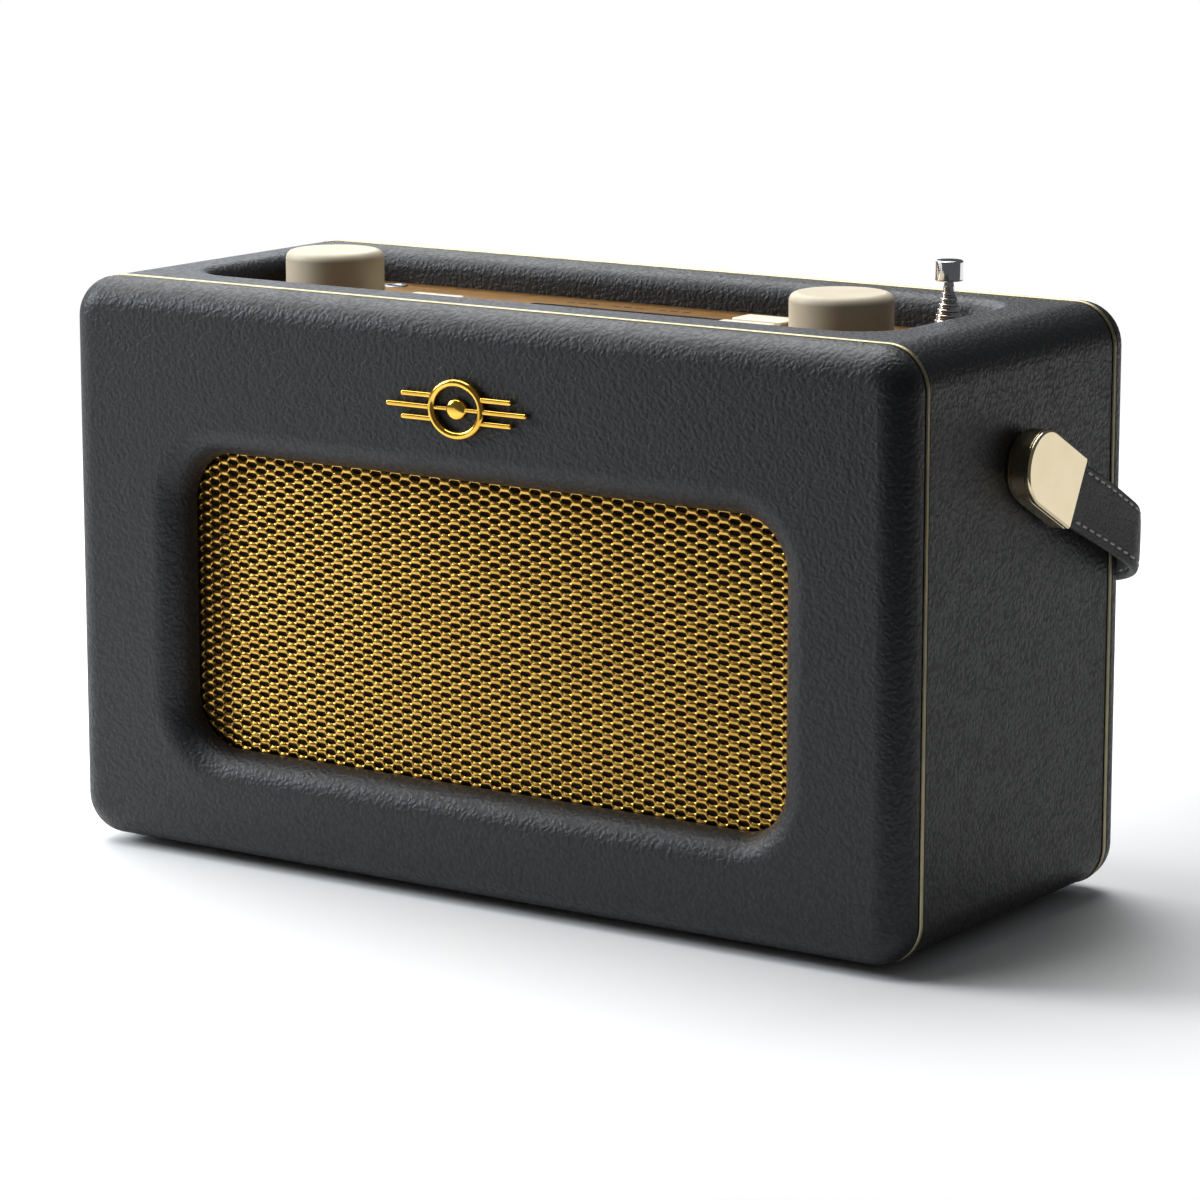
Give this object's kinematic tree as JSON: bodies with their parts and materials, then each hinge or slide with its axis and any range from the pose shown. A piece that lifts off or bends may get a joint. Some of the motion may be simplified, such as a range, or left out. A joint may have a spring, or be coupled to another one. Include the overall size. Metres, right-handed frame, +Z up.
{
  "type": "portable radio",
  "caption": "Portable table radio in grained leathercloth with a gold mesh grille, a recessed top control plate, a swinging leather strap handle and a telescopic aerial.",
  "frame": {"origin": "bottom centre of the whole radio's box, handle at rest, on the surface it stands on", "axes": "+X to the listener's right along the case, -Y out of the grille, +Z up"},
  "size_m": [0.266, 0.1266, 0.1617],
  "materials": {
    "leathercloth": "charcoal grained leathercloth, soft satin",
    "strap_leather": "dark smooth leather with white stitching",
    "gold": "polished pale gold plate",
    "grille_gold": "bright gold expanded metal",
    "bronze": "brushed bronze",
    "cream_plastic": "warm cream moulded plastic, satin",
    "ivory_plastic": "ivory moulded plastic",
    "chrome": "bright chrome plate",
    "steel": "plain zinc-plated steel",
    "black_plastic": "black moulded plastic",
    "dark_glass": "dark glossy display window",
    "rubber": "black rubber",
    "cloth": "black acoustic cloth",
    "circuit_board": "green circuit board",
    "fibreboard": "bare fibreboard",
    "cone_paper": "dark pressed paper",
    "magnet_grey": "dark ferrite",
    "cell_wrap": "blue shrink wrap"
  },
  "bodies": {
    "cabinet": {"case_sleeve": "leathercloth", "front_frame": "leathercloth", "rear_panel": "leathercloth", "front_piping": "gold", "rear_piping": "gold", "badge": "gold", "handle_stud_left": "gold", "handle_stud_right": "gold", "speaker_grille": "grille_gold", "control_plate": "bronze", "aerial_section_1": "chrome", "aerial_collar": "chrome", "aux_socket": "chrome", "rear_screw_1": "steel", "rear_screw_2": "steel", "rear_screw_3": "steel", "rear_screw_4": "steel", "speaker_basket": "steel", "volume_encoder": "steel", "tuning_encoder": "steel", "control_tray": "black_plastic", "display_module": "black_plastic", "aerial_foot": "black_plastic", "battery_holder": "black_plastic", "socket_plate": "black_plastic", "power_inlet": "black_plastic", "headphone_socket": "black_plastic", "display_window": "dark_glass", "foot_1": "rubber", "foot_2": "rubber", "foot_3": "rubber", "foot_4": "rubber", "speaker_surround": "rubber", "grille_cloth": "cloth", "control_board": "circuit_board", "main_board": "circuit_board", "baffle_board": "fibreboard", "speaker_magnet": "magnet_grey", "battery_pack": "cell_wrap"},
    "handle": {"handle_strap": "strap_leather", "handle_cap_left": "gold", "handle_cap_right": "gold"},
    "volume_control": {"volume_knob": "cream_plastic", "volume_spindle": "steel"},
    "tuning_control": {"tuning_knob": "cream_plastic", "tuning_spindle": "steel"},
    "power_key": {"power_button": "ivory_plastic"},
    "source_key": {"source_button": "ivory_plastic"},
    "info_key": {"info_button": "ivory_plastic"},
    "menu_key": {"menu_button": "ivory_plastic"},
    "preset_key": {"preset_button": "ivory_plastic"},
    "cone": {"speaker_cone": "cone_paper", "dust_cap": "cone_paper"},
    "door": {"battery_door": "leathercloth"},
    "aerial_stage_2": {"aerial_section_2": "chrome"},
    "aerial_stage_3": {"aerial_section_3": "chrome"},
    "aerial_stage_4": {"aerial_section_4": "chrome"},
    "aerial_stage_5": {"aerial_section_5": "chrome"},
    "aerial_stage_6": {"aerial_section_6": "chrome"},
    "aerial_stage_7": {"aerial_section_7": "chrome"}
  },
  "joints": [
    {"name": "handle_swing", "type": "hinge", "parent": "cabinet", "child": "handle", "pos_m": [0, -0.00546, 0.1163], "axis": [1, 0, 0], "range_deg": [0, 230]},
    {"name": "volume_turn", "type": "hinge", "parent": "cabinet", "child": "volume_control", "pos_m": [-0.0775, -0.00996, 0.147], "axis": [0, 0, -1], "continuous": true},
    {"name": "tuning_turn", "type": "hinge", "parent": "cabinet", "child": "tuning_control", "pos_m": [0.0775, -0.00996, 0.147], "axis": [0, 0, -1], "continuous": true},
    {"name": "power_press", "type": "slide", "parent": "cabinet", "child": "power_key", "axis": [0, 0, -1], "range_m": [0, 0.0008], "stiffness_N_per_m": 400},
    {"name": "source_press", "type": "slide", "parent": "cabinet", "child": "source_key", "axis": [0, 0, -1], "range_m": [0, 0.0008], "stiffness_N_per_m": 400},
    {"name": "info_press", "type": "slide", "parent": "cabinet", "child": "info_key", "axis": [0, 0, -1], "range_m": [0, 0.0008], "stiffness_N_per_m": 400},
    {"name": "menu_press", "type": "slide", "parent": "cabinet", "child": "menu_key", "axis": [0, 0, -1], "range_m": [0, 0.0008], "stiffness_N_per_m": 400},
    {"name": "preset_press", "type": "slide", "parent": "cabinet", "child": "preset_key", "axis": [0, 0, -1], "range_m": [0, 0.0008], "stiffness_N_per_m": 400},
    {"name": "aerial_extend_2", "type": "slide", "parent": "cabinet", "child": "aerial_stage_2", "axis": [0, 0, 1], "range_m": [0, 0.105]},
    {"name": "aerial_extend_3", "type": "slide", "parent": "aerial_stage_2", "child": "aerial_stage_3", "axis": [0, 0, 1], "range_m": [0, 0.105]},
    {"name": "aerial_extend_4", "type": "slide", "parent": "aerial_stage_3", "child": "aerial_stage_4", "axis": [0, 0, 1], "range_m": [0, 0.105]},
    {"name": "aerial_extend_5", "type": "slide", "parent": "aerial_stage_4", "child": "aerial_stage_5", "axis": [0, 0, 1], "range_m": [0, 0.105]},
    {"name": "aerial_extend_6", "type": "slide", "parent": "aerial_stage_5", "child": "aerial_stage_6", "axis": [0, 0, 1], "range_m": [0, 0.105]},
    {"name": "aerial_extend_7", "type": "slide", "parent": "aerial_stage_6", "child": "aerial_stage_7", "axis": [0, 0, 1], "range_m": [0, 0.105]},
    {"name": "door_drop", "type": "hinge", "parent": "cabinet", "child": "door", "pos_m": [0, 0.04684, 0.0142], "axis": [-1, 0, 0], "range_deg": [0, 90]},
    {"name": "cone_travel", "type": "slide", "parent": "cabinet", "child": "cone", "axis": [0, -1, 0], "range_m": [-0.0015, 0.0015], "stiffness_N_per_m": 1500}
  ]
}
